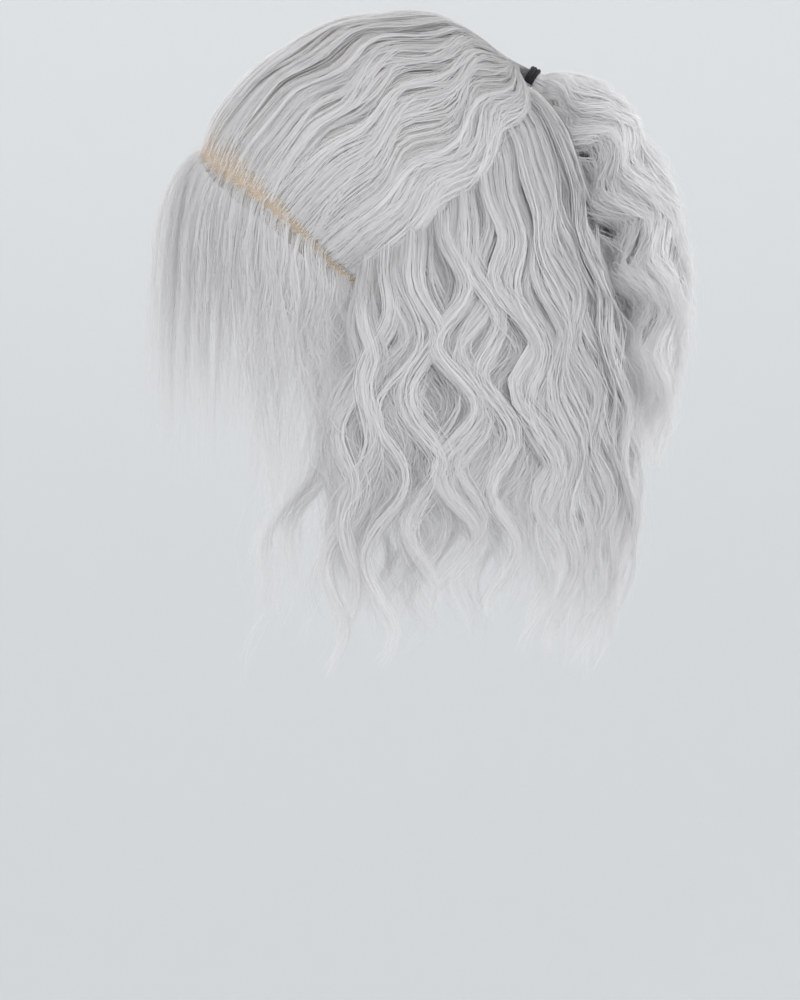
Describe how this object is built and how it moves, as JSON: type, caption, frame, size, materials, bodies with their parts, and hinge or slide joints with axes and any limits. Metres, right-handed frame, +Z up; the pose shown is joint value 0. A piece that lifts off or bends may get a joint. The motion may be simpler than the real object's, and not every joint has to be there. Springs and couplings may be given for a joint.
{
  "type": "lace front wig",
  "caption": "Silver wavy wig on a hollow cap with a lace hairline: front hair combed back into a tied half tail, loose locks round the sides and back, thin hair falling forward.",
  "frame": {"origin": "inside top of the cap, on the crown of the head that wears it", "axes": "+Z up, -Y the way the face looks, +X towards the wearer's left"},
  "size_m": [0.2241, 0.2875, 0.3674],
  "materials": {
    "hair": "soft sheen, silver-white fibre",
    "lace": "sheer fine net, matt",
    "cap_net": "matt stretch net with sewn wefts",
    "elastic": "matt covered elastic"
  },
  "bodies": {
    "root": {"cap": "cap_net", "lace_front": "lace", "crown_hair": "hair", "tail_hair": "hair", "left_hair": "hair", "right_hair": "hair", "back_hair": "hair", "front_hair": "hair", "hair_tie": "elastic"}
  },
  "joints": []
}
